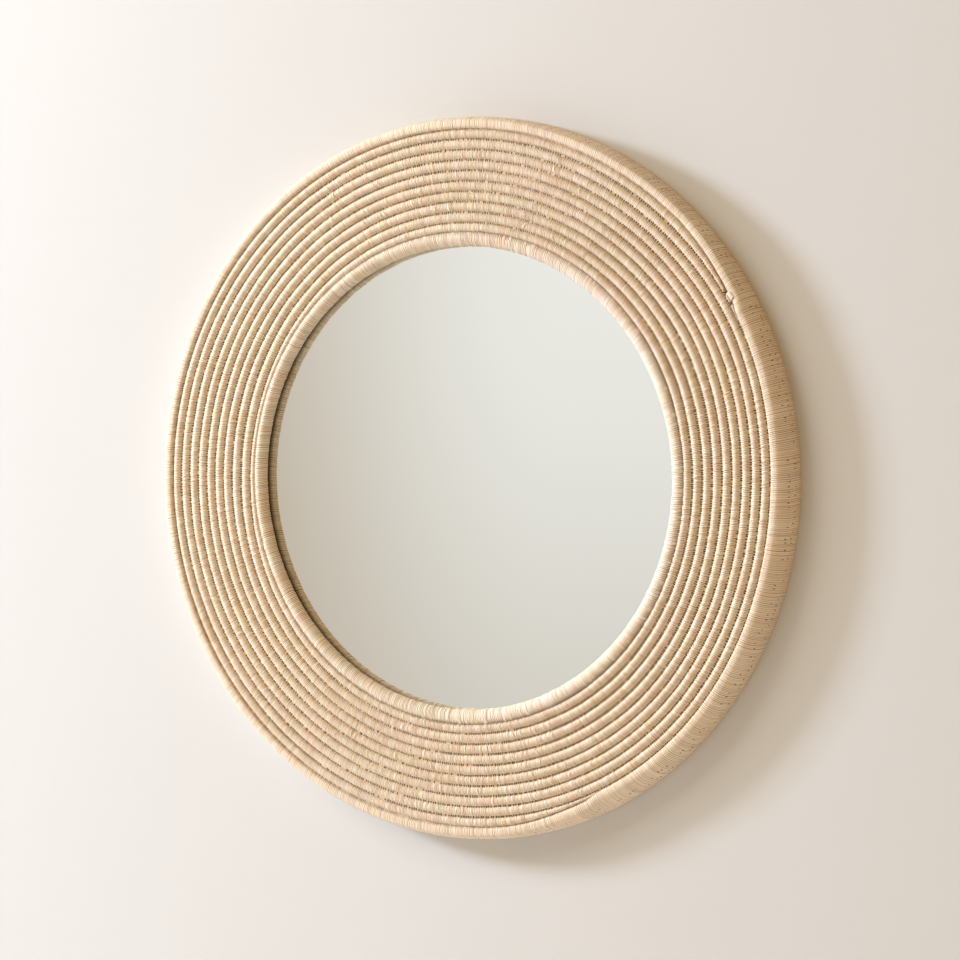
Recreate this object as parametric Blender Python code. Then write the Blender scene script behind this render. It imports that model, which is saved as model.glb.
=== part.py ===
"""Round wall mirror in a frame of wrapped and sewn coils.

Metres, +Z up. The wall is the plane Y = 0, the front faces -Y, and the origin is the centre of
the back. A ring's section is drawn by its radius from the Y axis and its depth off the wall.
"""

import math

import bmesh
import bpy

# The opening and the thick wrapped ring around it
OPENING_RADIUS = 0.2471
BINDING_RADIUS = 0.00835
BINDING_SET_BACK = 0.0034  # its centre lies this far behind the rows' centres
BINDING_TO_FIRST_ROW = 0.0091  # between the two centres, along the radius

# The face: closed rings of one wrapped coil, sewn side by side
ROW_COUNT = 9
ROW_WIDTH = 0.01097

# The part row outside the face, which runs out at the right
PART_ROW_START_DEG = 27.0  # anticlockwise from +X, seen from the front
PART_ROW_END_DEG = 297.0
PART_ROW_TAPER_DEG = 21.0
PART_ROW_TIP = 0.3  # the tip's width as a share of the row's

# The rim: a wide band that is wrapped over the shoulder and down to the wall
RIM_FACE_WIDTH = 0.0122  # from the part row to the outer edge
RIM_SHOULDER_DROP = 0.0225  # from the rim's crown back to where its side is straight

# The glass and the board behind it
GLASS_THICKNESS = 0.004
GLASS_COVER = 0.015  # how far the glass reaches behind the binding
GLASS_EDGE_GAP = 0.0015
GLASS_TO_BINDING = 0.00095
BOARD_THICKNESS = 0.009

# The two keyhole hangers in the board's back
HANGER_SPACING = 0.4064
HANGER_EDGE_INSET = 0.050  # from a plate's outer corner to the board's edge
PLATE_LENGTH = 0.044
PLATE_WIDTH = 0.019
PLATE_THICKNESS = 0.0015
KEY_HOLE_RADIUS = 0.005
KEY_SLOT_WIDTH = 0.005
KEY_SLOT_RISE = 0.011  # between the centres of the round hole and of the slot's end
POCKET_FLOOR = 0.0022  # board left in front of the pocket for the wall screw's head
POCKET_MARGIN = 0.0015
SCREW_INSET = 0.005  # a screw's centre from the plate's end
SCREW_HEAD_RADIUS = 0.0034
SCREW_SHANK_RADIUS = 0.0014
SCREW_FLOOR = 0.0025  # board left in front of a screw's end
SCREW_HEAD_SINK = 0.0002

# Clearances and facets
GAP = 0.0003
STEPS_AROUND = 60
STEPS_PER_ROW = 4
BINDING_SIDES = 10
PART_ROW_SIDES = 8
BINDING_SEAT_STEPS = 3
SHOULDER_STEPS = 4
NOSE_STEPS = 3
HOLE_SIDES = 10
CUTTER_OVERRUN = 0.001

# Radii and depths that follow from the values above
ROW_RADIUS = ROW_WIDTH / 2
GLASS_BACK_DEPTH = BOARD_THICKNESS + GAP
GLASS_FRONT_DEPTH = GLASS_BACK_DEPTH + GLASS_THICKNESS
BINDING_DEPTH = GLASS_FRONT_DEPTH + GLASS_TO_BINDING + BINDING_RADIUS
ROW_DEPTH = BINDING_DEPTH + BINDING_SET_BACK
FRAME_DEPTH = ROW_DEPTH + ROW_RADIUS
BINDING_CENTRE = OPENING_RADIUS + BINDING_RADIUS
FIRST_ROW_CENTRE = BINDING_CENTRE + BINDING_TO_FIRST_ROW
FACE_OUTER_RADIUS = FIRST_ROW_CENTRE - ROW_RADIUS + ROW_COUNT * ROW_WIDTH
OUTER_RADIUS = FACE_OUTER_RADIUS + ROW_WIDTH + RIM_FACE_WIDTH
GLASS_RADIUS = OPENING_RADIUS + GLASS_COVER
FACE_INNER_RADIUS = GLASS_RADIUS + GLASS_EDGE_GAP
BOARD_RADIUS = FACE_OUTER_RADIUS

STRAW = (0.78, 0.62, 0.42)
PALE_STRAW = (0.82, 0.68, 0.49)
SHADED_STRAW = (0.70, 0.53, 0.33)
SILVERED = (0.90, 0.91, 0.89)
FIBREBOARD = (0.42, 0.30, 0.19)
ZINC = (0.62, 0.62, 0.60)


def clear_scene():
    for item in list(bpy.data.objects):
        bpy.data.objects.remove(item)


def make_material(name, colour, roughness, metallic=0.0):
    material = bpy.data.materials.new(name)
    material.use_nodes = True
    shader = material.node_tree.nodes["Principled BSDF"]
    shader.inputs["Base Color"].default_value = (*colour, 1.0)
    shader.inputs["Roughness"].default_value = roughness
    shader.inputs["Metallic"].default_value = metallic
    return material


def add_object(name, mesh_data, material=None, sharp_deg=50.0):
    """Closes the bmesh into a mesh object with outward faces and smooth shading."""
    bmesh.ops.recalc_face_normals(mesh_data, faces=mesh_data.faces)
    mesh = bpy.data.meshes.new(name)
    mesh_data.to_mesh(mesh)
    mesh_data.free()
    mesh.shade_smooth()
    mesh.set_sharp_from_angle(angle=math.radians(sharp_deg))
    piece = bpy.data.objects.new(name, mesh)
    bpy.context.scene.collection.objects.link(piece)
    if material:
        piece.data.materials.append(material)
    return piece


def cut(piece, cutter):
    """Cuts the cutter's shape out of the piece, and keeps the cutter as a wire guide."""
    cutter.hide_render = True
    cutter.display_type = "WIRE"
    modifier = piece.modifiers.new("cut by " + cutter.name, "BOOLEAN")
    modifier.operation = "DIFFERENCE"
    modifier.object = cutter


def ring_point(angle_deg, radius, depth):
    angle = math.radians(angle_deg)
    return (radius * math.cos(angle), -depth, radius * math.sin(angle))


def arc(centre, radius, from_deg, to_deg, steps):
    """Points (radius, depth) on a round section, both ends included."""
    points = []
    for step in range(steps + 1):
        angle = math.radians(from_deg + (to_deg - from_deg) * step / steps)
        points.append((centre[0] + radius * math.cos(angle), centre[1] + radius * math.sin(angle)))
    return points


def sweep_ring(section_at, angles_deg, closed):
    """Carries a section around the Y axis. section_at(angle) gives its points at each angle."""
    mesh_data = bmesh.new()
    loops = []
    for angle in angles_deg:
        points = section_at(angle)
        loops.append([mesh_data.verts.new(ring_point(angle, *point)) for point in points])
    pairs = list(zip(loops, loops[1:]))
    if closed:
        pairs.append((loops[-1], loops[0]))
    else:
        mesh_data.faces.new(loops[0])
        mesh_data.faces.new(loops[-1])
    for first, second in pairs:
        for index, corner in enumerate(first):
            after = (index + 1) % len(first)
            mesh_data.faces.new((corner, first[after], second[after], second[index]))
    return mesh_data


def all_angles():
    return [360.0 * step / STEPS_AROUND for step in range(STEPS_AROUND)]


def circle_meeting(centre_a, radius_a, centre_b, radius_b):
    """The frontmost of the two points where two circles of a section cross."""
    across = centre_b[0] - centre_a[0]
    forward = centre_b[1] - centre_a[1]
    distance = math.hypot(across, forward)
    along = (radius_a**2 - radius_b**2 + distance**2) / (2 * distance)
    aside = math.sqrt(max(radius_a**2 - along**2, 0.0))
    return (
        centre_a[0] + (along * across - aside * forward) / distance,
        centre_a[1] + (along * forward + aside * across) / distance,
    )


def face_section(_angle):
    """A flat back, an inner wall that clears the glass and the binding, and the rows' crowns."""
    binding = (BINDING_CENTRE, BINDING_DEPTH)
    clear_radius = BINDING_RADIUS + GAP
    first_row = (FIRST_ROW_CENTRE, ROW_DEPTH)
    notch = circle_meeting(binding, clear_radius, first_row, ROW_RADIUS)
    wall_angle = math.degrees(math.acos(min(1.0, (FACE_INNER_RADIUS - binding[0]) / clear_radius)))
    notch_angle = math.degrees(math.atan2(notch[1] - binding[1], notch[0] - binding[0]))
    points = [
        (FACE_OUTER_RADIUS, GLASS_BACK_DEPTH),
        (FACE_INNER_RADIUS, GLASS_BACK_DEPTH),
        (FACE_INNER_RADIUS, GLASS_FRONT_DEPTH + GLASS_EDGE_GAP),
    ]
    points += arc(binding, clear_radius, -wall_angle, notch_angle, BINDING_SEAT_STEPS)
    row_start = math.degrees(math.atan2(notch[1] - ROW_DEPTH, notch[0] - FIRST_ROW_CENTRE))
    for row in range(ROW_COUNT):
        centre = (FIRST_ROW_CENTRE + row * ROW_WIDTH, ROW_DEPTH)
        points += arc(centre, ROW_RADIUS, row_start, 0.0, STEPS_PER_ROW)[1:]
        row_start = 180.0
    return points


def build_coiled_face(material):
    return add_object("coiled_face", sweep_ring(face_section, all_angles(), True), material)


def build_inner_binding(material):
    def section(_angle):
        centre = (BINDING_CENTRE, BINDING_DEPTH)
        turn = 360.0 / BINDING_SIDES
        return arc(centre, BINDING_RADIUS, 0.0, 360.0 - turn, BINDING_SIDES - 1)

    return add_object("inner_binding", sweep_ring(section, all_angles(), True), material)


def part_row_share(angle_deg):
    """1 along the part row, easing to 0 over the taper at both ends and 0 where there is none."""
    inside = min(angle_deg - PART_ROW_START_DEG, PART_ROW_END_DEG - angle_deg)
    share = min(max(inside / PART_ROW_TAPER_DEG, 0.0), 1.0)
    return share * share * (3 - 2 * share)


def build_part_row(material):
    full_radius = ROW_RADIUS - GAP

    def section(angle):
        width_share = PART_ROW_TIP + (1 - PART_ROW_TIP) * part_row_share(angle)
        radius = full_radius * width_share
        centre = (FACE_OUTER_RADIUS + GAP + radius, ROW_DEPTH + full_radius - radius)
        turn = 360.0 / PART_ROW_SIDES
        return arc(centre, radius, turn / 2, turn / 2 + 360.0 - turn, PART_ROW_SIDES - 1)

    angles = [a for a in all_angles() if PART_ROW_START_DEG <= a <= PART_ROW_END_DEG]
    return add_object("outer_part_row", sweep_ring(section, angles, False), material)


def rim_section(angle):
    """A ledge that carries the part row, a round nose, a long shoulder and a straight side.

    Where the part row is missing, the nose moves in and closes up to the face.
    """
    on_row = PART_ROW_START_DEG <= angle <= PART_ROW_END_DEG
    share = part_row_share(angle)
    tip = PART_ROW_TIP if on_row else 0.0
    row_width = (ROW_WIDTH - 2 * GAP) * (tip + (1 - tip) * share)
    inner = FACE_OUTER_RADIUS + GAP
    wall = inner + row_width + GAP
    nose = (wall + ROW_RADIUS, ROW_DEPTH)
    ledge = ROW_DEPTH - ROW_RADIUS
    side_depth = max(FRAME_DEPTH - RIM_SHOULDER_DROP, GAP)
    reach = OUTER_RADIUS - nose[0]
    drop = FRAME_DEPTH - side_depth
    points = [(inner, 0.0), (inner, ledge), (wall, ledge)]
    points += arc(nose, ROW_RADIUS, 180.0, 90.0, NOSE_STEPS)
    for step in range(1, SHOULDER_STEPS + 1):
        turn = math.radians(90.0 * step / SHOULDER_STEPS)
        points.append((nose[0] + reach * math.sin(turn), side_depth + drop * math.cos(turn)))
    points.append((OUTER_RADIUS, 0.0))
    return points


def build_rim(material):
    return add_object("rim_band", sweep_ring(rim_section, all_angles(), True), material)


def disc(radius, back_depth, front_depth):
    """A round plate between two depths, with the same facets as the rings."""
    mesh_data = bmesh.new()
    loops = []
    for depth in (back_depth, front_depth):
        loops.append([mesh_data.verts.new(ring_point(a, radius, depth)) for a in all_angles()])
        mesh_data.faces.new(loops[-1])
    for index in range(STEPS_AROUND):
        after = (index + 1) % STEPS_AROUND
        back, front = loops
        mesh_data.faces.new((back[index], back[after], front[after], front[index]))
    return mesh_data


def build_glass(material):
    shape = disc(GLASS_RADIUS, GLASS_BACK_DEPTH, GLASS_FRONT_DEPTH)
    return add_object("mirror_glass", shape, material)


def hanger_centres():
    """Each plate's centre (x, z), level with the other, its outer corner well inside the board."""
    half = HANGER_SPACING / 2
    corner_reach = BOARD_RADIUS - HANGER_EDGE_INSET
    corner_height = math.sqrt(corner_reach**2 - (half + PLATE_WIDTH / 2) ** 2)
    height = corner_height - PLATE_LENGTH / 2
    return {"left": (-half, height), "right": (half, height)}


def screw_centres(hanger):
    reach = PLATE_LENGTH / 2 - SCREW_INSET
    return {"upper": (hanger[0], hanger[1] + reach), "lower": (hanger[0], hanger[1] - reach)}


def extrude_outline(outline, back_depth, front_depth):
    """A plate with the outline's (x, z) points between two depths."""
    mesh_data = bmesh.new()
    corners = [mesh_data.verts.new((x, -back_depth, z)) for x, z in outline]
    face = mesh_data.faces.new(corners)
    made = bmesh.ops.extrude_face_region(mesh_data, geom=[face])
    moved = [item for item in made["geom"] if isinstance(item, bmesh.types.BMVert)]
    bmesh.ops.translate(mesh_data, verts=moved, vec=(0.0, back_depth - front_depth, 0.0))
    return mesh_data


def rectangle(centre, width, height):
    x, z = centre
    return [
        (x - width / 2, z - height / 2),
        (x + width / 2, z - height / 2),
        (x + width / 2, z + height / 2),
        (x - width / 2, z + height / 2),
    ]


def key_outline(hanger, hole_radius, slot_radius):
    """A round hole below, and a slot with a round end above it."""
    x, z = hanger
    low = z - KEY_SLOT_RISE / 2
    high = z + KEY_SLOT_RISE / 2
    meet_deg = math.degrees(math.acos(min(1.0, slot_radius / hole_radius)))
    outline = arc((x, high), slot_radius, 0.0, 180.0, HOLE_SIDES // 2)
    outline += arc((x, low), hole_radius, 180.0 - meet_deg, 360.0 + meet_deg, HOLE_SIDES)
    return outline


def turned_pin(centre, profile):
    """A solid turned about the line along Y through (x, z). profile holds (radius, depth)."""
    mesh_data = bmesh.new()
    x, z = centre
    loops = []
    for radius, depth in profile:
        points = arc((x, z), radius, 0.0, 360.0 - 360.0 / HOLE_SIDES, HOLE_SIDES - 1)
        loops.append([mesh_data.verts.new((px, -depth, pz)) for px, pz in points])
    mesh_data.faces.new(loops[0])
    mesh_data.faces.new(loops[-1])
    for first, second in zip(loops, loops[1:]):
        for index in range(HOLE_SIDES):
            after = (index + 1) % HOLE_SIDES
            mesh_data.faces.new((first[index], first[after], second[after], second[index]))
    return mesh_data


def screw_profile(grow=0.0):
    """A countersunk screw from its head to its end. grow widens it into its hole."""
    neck_depth = SCREW_HEAD_SINK + SCREW_HEAD_RADIUS - SCREW_SHANK_RADIUS
    return [
        (SCREW_HEAD_RADIUS + grow, SCREW_HEAD_SINK),
        (SCREW_SHANK_RADIUS + grow, neck_depth),
        (SCREW_SHANK_RADIUS + grow, BOARD_THICKNESS - SCREW_FLOOR + grow),
    ]


def screw_hole_cutter(side, end, centre):
    """The countersunk hole that a screw sits in, which runs on past the plate's back."""
    mouth = (SCREW_HEAD_RADIUS + GAP, -CUTTER_OVERRUN)
    return add_object(f"screw_cutter_{side}_{end}", turned_pin(centre, [mouth] + screw_profile(GAP)))


def build_board(material):
    return add_object("back_board", disc(BOARD_RADIUS, 0.0, BOARD_THICKNESS), material)


def build_hangers(board, plate_material, screw_material):
    """Lets a keyhole plate into the board's back at each side, over a pocket for a screw's head."""
    recess_depth = PLATE_THICKNESS + GAP
    pocket_depth = BOARD_THICKNESS - POCKET_FLOOR
    pocket_radius = KEY_HOLE_RADIUS + POCKET_MARGIN
    through_plate = PLATE_THICKNESS + CUTTER_OVERRUN
    for side, hanger in hanger_centres().items():
        outline = rectangle(hanger, PLATE_WIDTH, PLATE_LENGTH)
        shape = extrude_outline(outline, 0.0, PLATE_THICKNESS)
        plate = add_object("hanger_plate_" + side, shape, plate_material)
        outline = key_outline(hanger, KEY_HOLE_RADIUS, KEY_SLOT_WIDTH / 2)
        shape = extrude_outline(outline, -CUTTER_OVERRUN, through_plate)
        cut(plate, add_object("key_cutter_" + side, shape))

        outline = rectangle(hanger, PLATE_WIDTH + 2 * GAP, PLATE_LENGTH + 2 * GAP)
        shape = extrude_outline(outline, -CUTTER_OVERRUN, recess_depth)
        cut(board, add_object("recess_cutter_" + side, shape))
        outline = key_outline(hanger, pocket_radius, pocket_radius)
        shape = extrude_outline(outline, -CUTTER_OVERRUN, pocket_depth)
        cut(board, add_object("pocket_cutter_" + side, shape))

        for end, centre in screw_centres(hanger).items():
            hole = screw_hole_cutter(side, end, centre)
            cut(plate, hole)
            cut(board, hole)
            shape = turned_pin(centre, screw_profile())
            add_object(f"hanger_screw_{side}_{end}", shape, screw_material)


def main():
    clear_scene()
    build_coiled_face(make_material("wrapped_coils", STRAW, 0.75))
    build_inner_binding(make_material("wrapped_binding", PALE_STRAW, 0.72))
    build_part_row(make_material("wrapped_part_row", STRAW, 0.75))
    build_rim(make_material("wrapped_rim", SHADED_STRAW, 0.75))
    build_glass(make_material("silvered_glass", SILVERED, 0.03, 1.0))
    board = build_board(make_material("fibreboard", FIBREBOARD, 0.7))
    plate_material = make_material("zinc_plated_steel", ZINC, 0.35, 1.0)
    screw_material = make_material("zinc_plated_screw", ZINC, 0.3, 1.0)
    build_hangers(board, plate_material, screw_material)


main()
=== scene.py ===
"""Looks of a round wall mirror in a wide frame of raffia-wrapped coils.

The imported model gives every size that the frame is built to. Nine closed rows of coil, a tenth part row,
the thicker binding at the glass and the wide outer rim are each a band of separate raffia strands, laid
side by side on a grid of (angle round the ring, distance across the band). All lengths are in metres,
the mirror faces -Y, +Z is up, and a point of a ring is (rho cos a, -depth, rho sin a).
"""

import logging
from dataclasses import dataclass
from enum import Enum
from math import cos, pi, radians, sin

import bpy
import numpy as np
from bpy.types import Material, Node, NodeSocket, NodeTree, Object
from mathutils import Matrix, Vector


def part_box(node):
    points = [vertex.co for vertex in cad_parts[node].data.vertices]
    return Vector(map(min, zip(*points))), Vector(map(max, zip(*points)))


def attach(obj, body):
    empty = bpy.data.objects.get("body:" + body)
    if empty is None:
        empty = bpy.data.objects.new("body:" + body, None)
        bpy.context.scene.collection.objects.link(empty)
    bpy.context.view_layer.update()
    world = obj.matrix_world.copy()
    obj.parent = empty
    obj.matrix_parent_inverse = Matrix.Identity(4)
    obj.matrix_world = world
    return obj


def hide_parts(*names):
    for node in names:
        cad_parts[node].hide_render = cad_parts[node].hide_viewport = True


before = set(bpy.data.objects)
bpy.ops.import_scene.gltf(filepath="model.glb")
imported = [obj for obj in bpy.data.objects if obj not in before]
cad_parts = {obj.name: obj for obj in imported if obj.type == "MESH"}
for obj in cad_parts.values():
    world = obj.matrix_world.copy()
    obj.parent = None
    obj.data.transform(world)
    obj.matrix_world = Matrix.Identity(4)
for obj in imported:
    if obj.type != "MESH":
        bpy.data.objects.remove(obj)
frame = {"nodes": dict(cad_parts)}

log = logging.getLogger("wall_mirror")

MM = 0.001
TURN = 2.0 * pi
STRAND_ATTRIBUTE = "strand"
UV_NAME = "UVMap"

# The two colour inputs of a Mix node, which share their names with its number and vector inputs.
MIX_FROM, MIX_TO = 6, 7
# How dark the painted shade gets in the deepest seams and where the binding turns under, from 0 to 1.
SEAM_PAINTED_SHADE = 0.95


class Slot(Enum):
    """Names of the record's material slots for the three raffia finishes."""

    ROWS = "raffia_rows"
    BINDING = "raffia_binding"
    RIM = "raffia_rim"


class Edge(Enum):
    """What the two ends of a band of strands do."""

    CLOSED = "runs full circle"
    CAPPED = "ends in two small caps"


def linear(hex_code: str) -> tuple[float, float, float, float]:
    """Turns an sRGB hex value into a linear colour.

    A channel c above 0.04045 becomes ((c + 0.055) / 1.055) to the power 2.4, and a darker one c / 12.92.

    Args:
        hex_code: The colour, such as "#c8b08a".

    Returns:
        Red, green, blue and an alpha of 1.
    """
    channels = [int(hex_code[i:i + 2], 16) / 255 for i in (1, 3, 5)]
    values = [((c + 0.055) / 1.055) ** 2.4 if c > 0.04045 else c / 12.92 for c in channels]
    return (*values, 1.0)


def smoothstep(x: np.ndarray) -> np.ndarray:
    """Eases from 0 to 1 as x goes from 0 to 1: 3 x^2 - 2 x^3, held outside that range."""
    x = np.clip(x, 0.0, 1.0)
    return x * x * (3.0 - 2.0 * x)


def eased(x: np.ndarray, ramp: tuple[float, float]) -> np.ndarray:
    """Eases from 0 to 1 over a ramp, which is where it starts and how long it is."""
    return smoothstep((x - ramp[0]) / ramp[1])


def ring_points(angle: np.ndarray, rho: np.ndarray, depth: np.ndarray) -> np.ndarray:
    """Places points of a ring that faces the room.

    Args:
        angle: Radians from +X, anticlockwise as seen from the room.
        rho: Distance from the mirror's centre line.
        depth: Distance in front of the wall.

    Returns:
        An array of (rho cos a, -depth, rho sin a).
    """
    return np.stack([rho * np.cos(angle), -depth, rho * np.sin(angle)], axis=-1)


def slow_waves(angle: np.ndarray, seed: int, turns: tuple[int, ...], size: float) -> np.ndarray:
    """Adds a few sine waves round the ring, each with a random phase, for the unevenness of handwork.

    Args:
        angle: Radians round the ring.
        seed: Seed of the phases.
        turns: How many times each wave repeats in a full turn.
        size: Largest size of the sum.

    Returns:
        size / n times the sum of sin(n a + phase), for every angle.
    """
    phases = np.random.default_rng(seed).uniform(0.0, TURN, len(turns))
    total = sum(np.sin(n * angle + phase) for n, phase in zip(turns, phases))
    return total * size / len(turns)


def add_node(tree: NodeTree, kind: str, sockets: dict | None = None, **settings: object) -> Node:
    """Adds one node with its settings, constants and links.

    Args:
        tree: Tree that gets the node.
        kind: Blender's name of the node type, less the "ShaderNode" in front of it.
        sockets: What goes into each input: a constant, an output, or a node for its first output in use.
        **settings: The node's own options.

    Returns:
        The new node.
    """
    node = tree.nodes.new("ShaderNode" + kind)
    for option, value in settings.items():
        setattr(node, option, value)
    for key, value in (sockets or {}).items():
        if isinstance(value, Node):
            value = next(output for output in value.outputs if output.enabled)
        if isinstance(value, NodeSocket):
            tree.links.new(value, node.inputs[key])
        else:
            node.inputs[key].default_value = value
    return node


def new_material(name: str) -> tuple[Material, NodeTree]:
    """Makes a material with an empty node tree.

    Args:
        name: Name of the real material and of how it was made.

    Returns:
        The material and its tree.
    """
    material = bpy.data.materials.new(name)
    material.use_nodes = True
    material.node_tree.nodes.clear()
    return material, material.node_tree


def surface_of(tree: NodeTree, shader: Node) -> None:
    """Joins a shader to the tree's output."""
    add_node(tree, "OutputMaterial", {"Surface": shader})


@dataclass(frozen=True)
class HoleRow:
    """A row of small gaps between strands, dented in the bump and painted dark as shade, which runs round a
    band at one distance across it.

    One gap lies in each cell of an uneven division of the ring. It moves across the band by up to the
    wander, and a share of the cells has one. It fades out between the soft_edge shares of its half size.
    Where lanes are given, each lane across the band has its own division, lane_step cells further on.
    """

    across: float
    spacing: float
    half_width: float
    half_length: float
    wander: float = 0.0
    share: float = 1.0
    unevenness: float = 1.0
    lane: float = 0.0
    lane_step: float = 7.37
    soft_edge: tuple[float, float] = (0.7, 1.3)

    def mask(self, tree: NodeTree, along: NodeSocket, over: NodeSocket, start: float) -> Node:
        """Draws the gaps.

        Args:
            tree: The material's tree.
            along: Metres along the ring.
            over: Metres across the band.
            start: Where the division starts, so that two rows don't match.

        Returns:
            The node of a value that is 1 in a gap and 0 elsewhere.
        """
        if self.lane:
            lanes = add_node(tree, "Math", {0: over, 1: self.lane}, operation="DIVIDE")
            lane = add_node(tree, "Math", {0: lanes}, operation="FLOOR")
            start = add_node(tree, "Math", {0: lane, 1: self.lane_step, 2: start}, operation="MULTIPLY_ADD")
        place = add_node(tree, "Math", {0: along, 1: 1 / self.spacing, 2: start}, operation="MULTIPLY_ADD")
        division = {"W": place, "Scale": 1.0, "Randomness": self.unevenness}
        cell = add_node(tree, "TexVoronoi", division, voronoi_dimensions="1D")
        chance = add_node(tree, "SeparateColor", {0: cell.outputs["Color"]})
        to_gap = {0: chance.outputs[1], 1: 2 * self.wander, 2: -self.wander - self.across}
        moved = add_node(tree, "Math", to_gap, operation="MULTIPLY_ADD")
        offset = add_node(tree, "Math", {0: over, 1: moved}, operation="ADD")
        away = add_node(tree, "Math", {0: offset}, operation="ABSOLUTE")
        gaps = add_node(tree, "Math", {0: chance, 1: self.share}, operation="LESS_THAN")
        for distance, half in ((cell, self.half_width / self.spacing), (away, self.half_length)):
            fade = {"From Min": self.soft_edge[0] * half, "From Max": self.soft_edge[1] * half}
            near = add_node(tree, "MapRange", {0: distance, **fade, "To Min": 1.0, "To Max": 0.0})
            gaps = add_node(tree, "Math", {0: gaps, 1: near}, operation="MULTIPLY")
        return gaps


@dataclass(frozen=True)
class Raffia:
    """Dried raffia palm leaf, split and wrapped by hand.

    The eye gets a matt, slightly silky straw with fine fibres along each strand, tones that change from one
    leaf to the next, and brown shadow where strands part.
    """

    name: str
    pale: str = "#fef1da"
    straw: str = "#e7c295"
    green: str = "#eee6c4"
    pink: str = "#f8e1d1"
    # Colour of the painted shade that is mixed in where strands part, in gaps and in seams.
    crease_shade: str = "#54300f"
    hue_share: float = 0.42
    mottle_share: float = 0.18
    roughness: float = 0.6
    fibre: tuple[float, float] = (0.22 * MM, 9.0 * MM)
    fibre_tone: float = 0.22
    fibre_height: float = 0.06 * MM
    blotch: tuple[float, float] = (2.5 * MM, 6.0 * MM)
    ripple: tuple[float, float] = (40.0 * MM, 4.4 * MM)
    ripple_height: float = 0.0
    hole_rows: tuple[HoleRow, ...] = ()
    hole_row_step: float = 37.0

    def material(self) -> Material:
        """Builds the finish: leaf tone, fibres, and painted shade in the creases, the seams and the small
        gaps of its stitches.

        Returns:
            The material.
        """
        material, tree = new_material(self.name)
        pale, straw, green, pink, crease_shade = (
            linear(colour) for colour in (self.pale, self.straw, self.green, self.pink, self.crease_shade)
        )
        strand = add_node(tree, "Attribute", attribute_name=STRAND_ATTRIBUTE)
        tone, hue, dark = add_node(tree, "SeparateXYZ", {0: strand.outputs["Vector"]}).outputs
        uv = add_node(tree, "UVMap", uv_map=UV_NAME)
        fibres = self.grains(tree, uv, self.fibre, 2.0)
        blotches = self.grains(tree, uv, self.blotch, 1.0)
        change = {"From Min": 0.3, "From Max": 0.7, "To Min": -self.fibre_tone, "To Max": self.fibre_tone}
        lift = add_node(tree, "MapRange", {0: fibres, **change})
        toned = add_node(tree, "Math", {0: tone, 1: lift}, operation="ADD")
        leaf = add_node(tree, "Mix", {0: toned, MIX_FROM: straw, MIX_TO: pale}, data_type="RGBA")
        hued = add_node(tree, "Mix", {0: hue, MIX_FROM: green, MIX_TO: pink}, data_type="RGBA")
        coloured = add_node(tree, "Mix", {0: self.hue_share, MIX_FROM: leaf, MIX_TO: hued}, data_type="RGBA")
        mottle = {0: self.mottle_share, MIX_FROM: coloured, MIX_TO: blotches.outputs["Color"]}
        mottled = add_node(tree, "Mix", mottle, data_type="RGBA", blend_type="SOFT_LIGHT")
        height = fibres
        along, over, _ = add_node(tree, "SeparateXYZ", {0: uv}).outputs
        for number, row in enumerate(self.hole_rows):
            gaps = row.mask(tree, along, over, self.hole_row_step * number)
            dark = add_node(tree, "Math", {0: dark, 1: gaps}, operation="MAXIMUM")
            height = add_node(tree, "Math", {0: height, 1: gaps}, operation="SUBTRACT")
        # Painted shade: the strand darkness and the stitch gaps mix in the shade colour.
        finished = add_node(tree, "Mix", {0: dark, MIX_FROM: mottled, MIX_TO: crease_shade}, data_type="RGBA")
        bump = add_node(tree, "Bump", {"Height": height, "Distance": self.fibre_height})
        if self.ripple_height:
            ripples = self.grains(tree, uv, self.ripple, 1.0)
            bump = add_node(tree, "Bump", {"Height": ripples, "Distance": self.ripple_height, "Normal": bump})
        spread = {"To Min": self.roughness - 0.1, "To Max": self.roughness + 0.1}
        gloss = {"Roughness": add_node(tree, "MapRange", {0: blotches, **spread}), "IOR": 1.53}
        look = {"Base Color": finished, "Normal": bump, "Specular IOR Level": 0.35, **gloss}
        surface_of(tree, add_node(tree, "BsdfPrincipled", look))
        return material

    def grains(self, tree: NodeTree, uv: Node, size: tuple[float, float], detail: float) -> Node:
        """Draws flat noise whose grains have the given size along the ring and across the band."""
        place = add_node(tree, "Mapping", {0: uv, "Scale": (1 / size[0], 1 / size[1], 1)})
        return add_node(tree, "TexNoise", {0: place, "Scale": 1.0, "Detail": detail}, noise_dimensions="2D")


@dataclass(frozen=True)
class SilveredGlass:
    """Float glass, silvered: a cool, faintly green mirror, with a breath of haze that dulls it unevenly."""

    name: str = "float_glass_silvered"
    tint: str = "#f4f6f2"
    haze_size: float = 90.0 * MM
    roughness: tuple[float, float] = (0.004, 0.02)

    def material(self) -> Material:
        """Builds the finish: a metal with the tint of silver behind clear glass.

        Returns:
            The material.
        """
        material, tree = new_material(self.name)
        place = add_node(tree, "TexCoord").outputs["Object"]
        haze = add_node(tree, "TexNoise", {0: place, "Scale": 1 / self.haze_size, "Detail": 3.0})
        clear, dull = self.roughness
        rough = add_node(tree, "MapRange", {0: haze, "To Min": clear, "To Max": dull})
        look = {"Base Color": linear(self.tint), "Metallic": 1.0, "Roughness": rough}
        surface_of(tree, add_node(tree, "BsdfPrincipled", look))
        return material


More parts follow.
